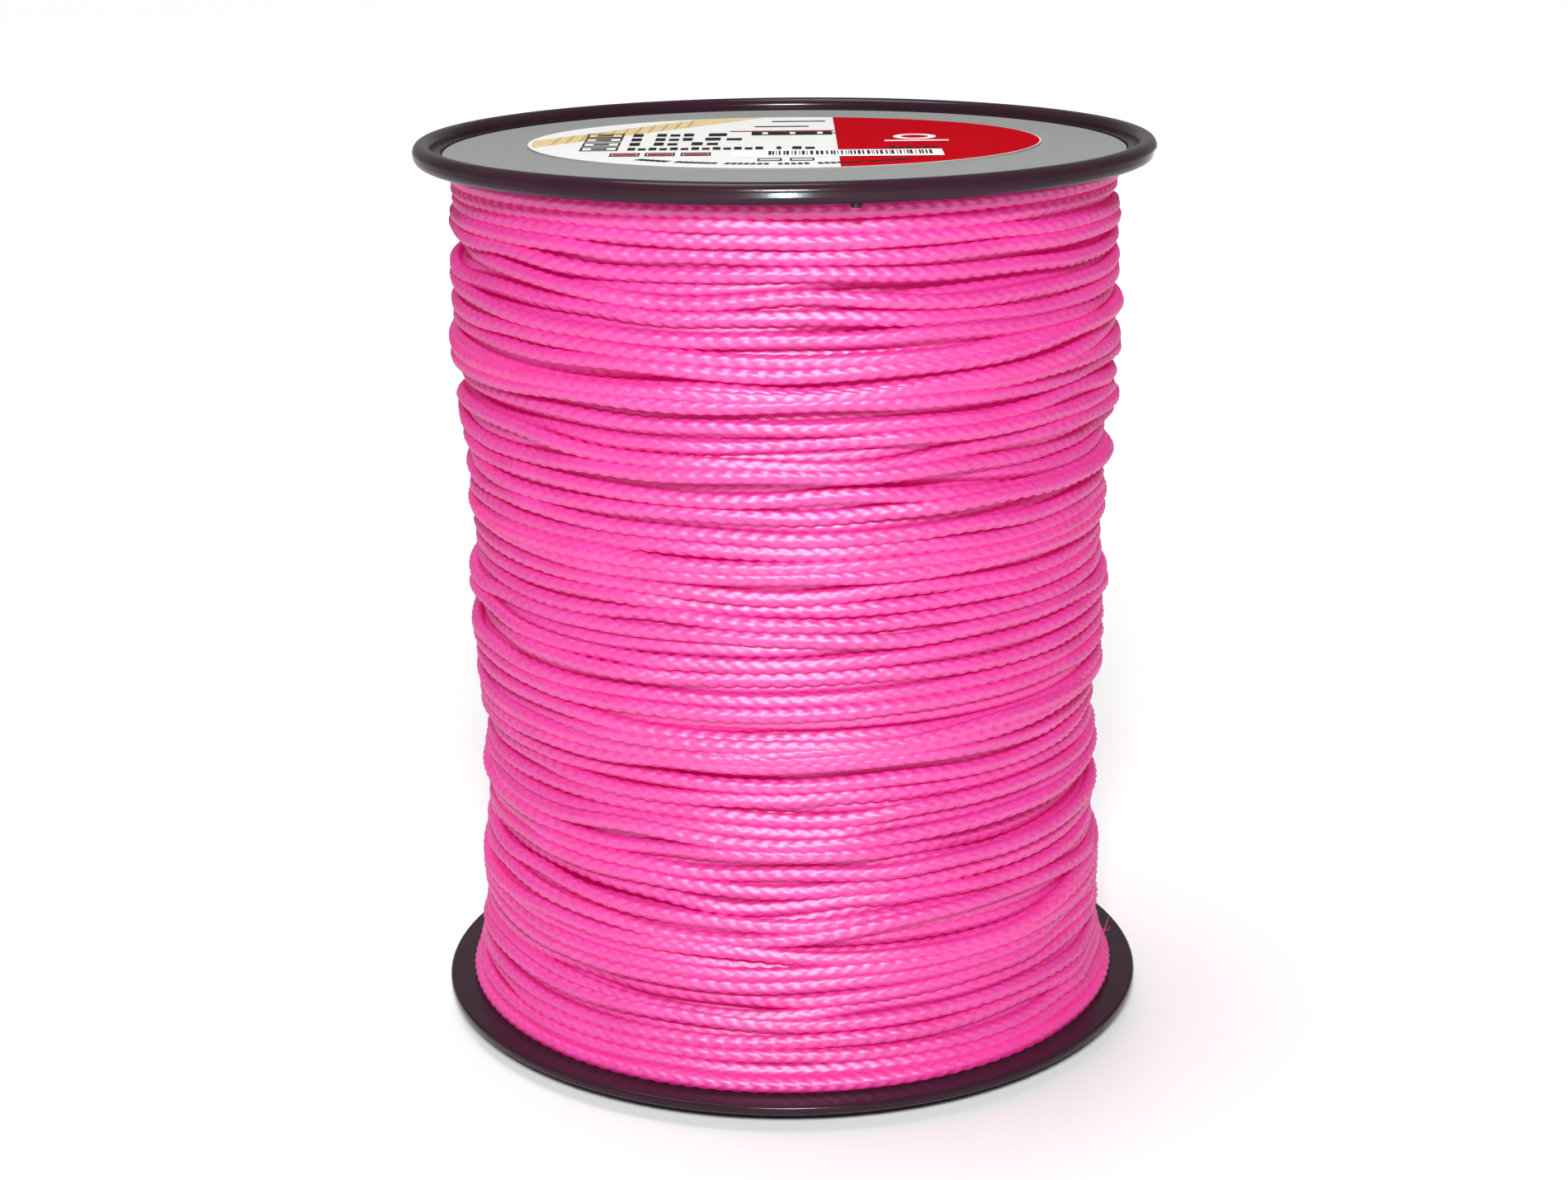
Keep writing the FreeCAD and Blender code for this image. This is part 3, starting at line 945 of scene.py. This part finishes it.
def centre_points(path, spacing):
    """Evenly spaced points of the path in millimetres, with the distance along it and the number
    of turns from its start."""
    turn = np.arange(len(path)) / TURN_SAMPLES
    angle = turn * TURN + math.pi / 2
    radius = smoothed(path[:, 0], PATH_REACH)
    points = np.column_stack([radius * np.cos(angle), radius * np.sin(angle), path[:, 1]])
    gaps = np.linalg.norm(np.diff(points, axis=0), axis=1)
    along = np.concatenate([[0], np.cumsum(gaps)])
    wanted = np.arange(0, along[-1], spacing)
    centres = np.column_stack([np.interp(wanted, along, points[:, i]) for i in range(3)])
    return centres, wanted, np.interp(wanted, along, turn)


def braid_height(along, angle):
    """How far the braid's skin stands out, in relief heights, at distances along the cord and
    angles round it. Strands wind each way and pass over and under one another."""
    lead = TURN * along / BRAID_PERIOD
    half = TURN / BRAID_STRANDS / 2
    ridges = []
    for way in (1, -1):
        off = (angle - way * lead + half) % (2 * half) - half
        ridge = 1 - (off / half) ** 2
        ridges.append(ridge + way * BRAID_CROWN * np.cos(BRAID_STRANDS * angle))
    return np.maximum(ridges[0], ridges[1])


def section_angles(outer_count, inner_count):
    """Angles round the cord from its outward side: close together there, sparse behind."""
    outer = np.linspace(-OUTWARD_REACH, OUTWARD_REACH, outer_count)
    inner = np.linspace(OUTWARD_REACH, TURN - OUTWARD_REACH, inner_count + 2)[1:-1]
    return np.concatenate([outer, inner])


def tube_rings(centres, along, angles, relief):
    """Vertices of the tube's rings, and the groove value of each, which paints shade between the
    strands.
    """
    tangent = np.gradient(centres, axis=0)
    tangent /= np.linalg.norm(tangent, axis=1)[:, None]
    outward = centres * [1, 1, 0]
    outward -= tangent * (outward * tangent).sum(axis=1)[:, None]
    outward /= np.linalg.norm(outward, axis=1)[:, None]
    sideways = np.cross(tangent, outward)
    twist = sum(size * np.sin(along / length + phase) for size, length, phase in TWISTS)
    height = braid_height(along[:, None], angles[None, :] + twist[:, None])
    lift = relief * (height - 1.0)
    out = (HALF_HEIGHT + lift) * np.cos(angles)[None, :]
    side = (HALF_WIDTH + lift) * np.sin(angles)[None, :]
    rings = centres[:, None, :] + out[..., None] * outward[:, None, :]
    rings = rings + side[..., None] * sideways[:, None, :]
    return rings, np.clip(PAINTED_SHADE_FROM - height, 0, 1)


def mesh_from_grid(name, rings, groove, along, material):
    """A closed tube from rings of points in millimetres, with a cap at each end."""
    count, around = rings.shape[:2]
    ring = np.arange(count - 1)[:, None] * around
    here = np.arange(around)[None, :]
    beside = (here + 1) % around
    faces = np.stack([ring + here, ring + beside, ring + beside + around, ring + here + around], -1)
    faces = faces.reshape(-1, 4)
    mesh = bpy.data.meshes.new(name)
    mesh.vertices.add(count * around)
    mesh.vertices.foreach_set("co", (rings.reshape(-1, 3) * MM).astype(np.float32).ravel())
    corners = np.concatenate([faces.ravel(), np.arange(around)[::-1],
                              (count - 1) * around + np.arange(around)])
    mesh.loops.add(len(corners))
    mesh.loops.foreach_set("vertex_index", corners.astype(np.int32))
    caps = len(faces) * 4 + np.array([0, around])
    starts = np.concatenate([np.arange(len(faces)) * 4, caps])
    mesh.polygons.add(len(starts))
    mesh.polygons.foreach_set("loop_start", starts.astype(np.int32))
    mesh.update(calc_edges=True)
    uv = mesh.uv_layers.new(name="braid")
    length = np.repeat(along[:, None] / BRAID_PERIOD, around, axis=1).ravel()
    part = np.repeat(np.arange(around)[None, :] / around, count, axis=0).ravel()
    uv.data.foreach_set("uv", np.column_stack([length, part])[corners].astype(np.float32).ravel())
    # The groove attribute paints shade in the cord's material
    attribute = mesh.attributes.new("groove", "FLOAT", "POINT")
    attribute.data.foreach_set("value", groove.astype(np.float32).ravel())
    mesh.polygons.foreach_set("use_smooth", np.arange(len(starts)) < len(faces))
    mesh.materials.append(material)
    mesh.validate()
    return add_piece(name, mesh)


def add_piece(name, mesh):
    piece = bpy.data.objects.new(name, mesh)
    bpy.context.scene.collection.objects.link(piece)
    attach(piece, "root")
    return piece


def cord_pieces(name, path, spacing, angles, relief, material):
    """The cord along one layer, in pieces of whole turns that each stay under the face limit.
    Every turn starts at the back, so the pieces meet there."""
    centres, along, turn = centre_points(path, spacing)
    rings, groove = tube_rings(centres, along, angles, relief)
    faces_a_turn = len(centres) * len(angles) / turn[-1]
    turns = int(PIECE_FACES / faces_a_turn)
    starts = np.searchsorted(turn, np.arange(0, turn[-1] - 1, turns))
    ends = np.append(starts[1:] + 1, len(centres))
    pieces = []
    for index, (start, end) in enumerate(zip(starts, ends), start=1):
        part = slice(start, end)
        label = "%s_%d" % (name, index)
        pieces.append(mesh_from_grid(label, rings[part], groove[part], along[part], material))
    return pieces


def core_piece(radius, material):
    """The hidden layers: a closed body under the lowest turns that are laid one by one."""
    rows = radius[::CORE_STEP, ::CORE_STEP].T - CORE_DEPTH
    heights = np.arange(Z_LOW, Z_HIGH + MAP_CELL / 2, MAP_CELL)[::CORE_STEP]
    heights[-1] = Z_HIGH
    angle = np.arange(0, TURN_SAMPLES, CORE_STEP) * TURN / TURN_SAMPLES + math.pi / 2
    levels = np.repeat(heights[:, None], len(angle), axis=1)
    rings = np.stack([rows * np.cos(angle), rows * np.sin(angle), levels], -1)
    # The core gets painted shade: a groove value near 1 gives it the deeper shade pink
    groove = np.full(rings.shape[:2], CORE_PAINTED_SHADE)
    return mesh_from_grid("cord_core", rings, groove, heights, material)


FIBRE_RADIUS = 0.035 * MM
FIBRE_SEED = 5
FIBRE_COUNT = 4
END_ANGLE = math.radians(-4)
END_HEIGHT = 5.6
END_SPREAD = (0.03, 0.5)
# The least and the most of a filament's reach and rise, and its drift round the axis
FILAMENT_LEAST = (0.9, 0.3, -0.04)
FILAMENT_MOST = (2.0, 2.2, 0.04)


def loose_fibres(surface, material):
    """Filaments of the cord's cut end, which is tucked in above the lower flange."""
    dice = np.random.default_rng(FIBRE_SEED)
    curve = bpy.data.curves.new("cord_end_fibres", "CURVE")
    curve.dimensions = "3D"
    curve.bevel_depth = FIBRE_RADIUS
    curve.bevel_resolution = 1
    column = int((END_HEIGHT - Z_LOW) / MAP_CELL)
    start = surface.radius[:, column].mean() - CORD_DIAMETER / 4
    aside, up = END_SPREAD
    for _ in range(FIBRE_COUNT):
        angle = END_ANGLE + dice.uniform(-aside, aside)
        height = END_HEIGHT + dice.uniform(-up, up)
        reach, rise, drift = dice.uniform(FILAMENT_LEAST, FILAMENT_MOST)
        spline = curve.splines.new("NURBS")
        spline.points.add(3)
        for point, part in zip(spline.points, np.linspace(0, 1, 4)):
            radius = start + reach * part
            turned_by = angle + drift * part * part
            point.co = (radius * math.cos(turned_by) * MM, radius * math.sin(turned_by) * MM,
                        (height + rise * part * part) * MM, 1)
        spline.order_u = 3
        spline.use_endpoint_u = True
    curve.materials.append(material)
    return add_piece("cord_end_fibres", curve)


def make_winding(material):
    layers, beneath, surface = wound_layers()
    core = core_piece(beneath[1], material)
    pieces = []
    for path, (name, spacing, outward, behind, relief) in zip(layers[1:], DRAWN_LAYERS):
        angles = section_angles(outward, behind)
        pieces += cord_pieces(name, path, spacing, angles, relief, material)
    loose_fibres(surface, material)
    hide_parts("cord_inner_layers")
    for piece in pieces:
        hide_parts("cord_outer_layers")
    radius = surface.radius
    print("winding: radius %.2f to %.2f mm, %d pieces" % (radius.min(), radius.max(), len(pieces)))


# ---------------------------------------------------------------- making it all

make_camera()
make_world()
flash = make_lights()
make_floor()
bpy.context.scene.view_settings.view_transform = "Standard"

plastic = flange_plastic()
cord = cord_fibre()
for node_name, node_material in (
    ("upper_flange", plastic),
    ("lower_flange", plastic),
    ("barrel", barrel_plastic()),
    ("face_card", grey_card()),
    ("label", label_paper()),
    ("cord_start_knot", cord),
):
    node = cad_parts[node_name]
    node.data.materials.clear()
    node.data.materials.append(node_material)

make_winding(cord)
light_only(flash, make_upper_flange(plastic))
make_print()
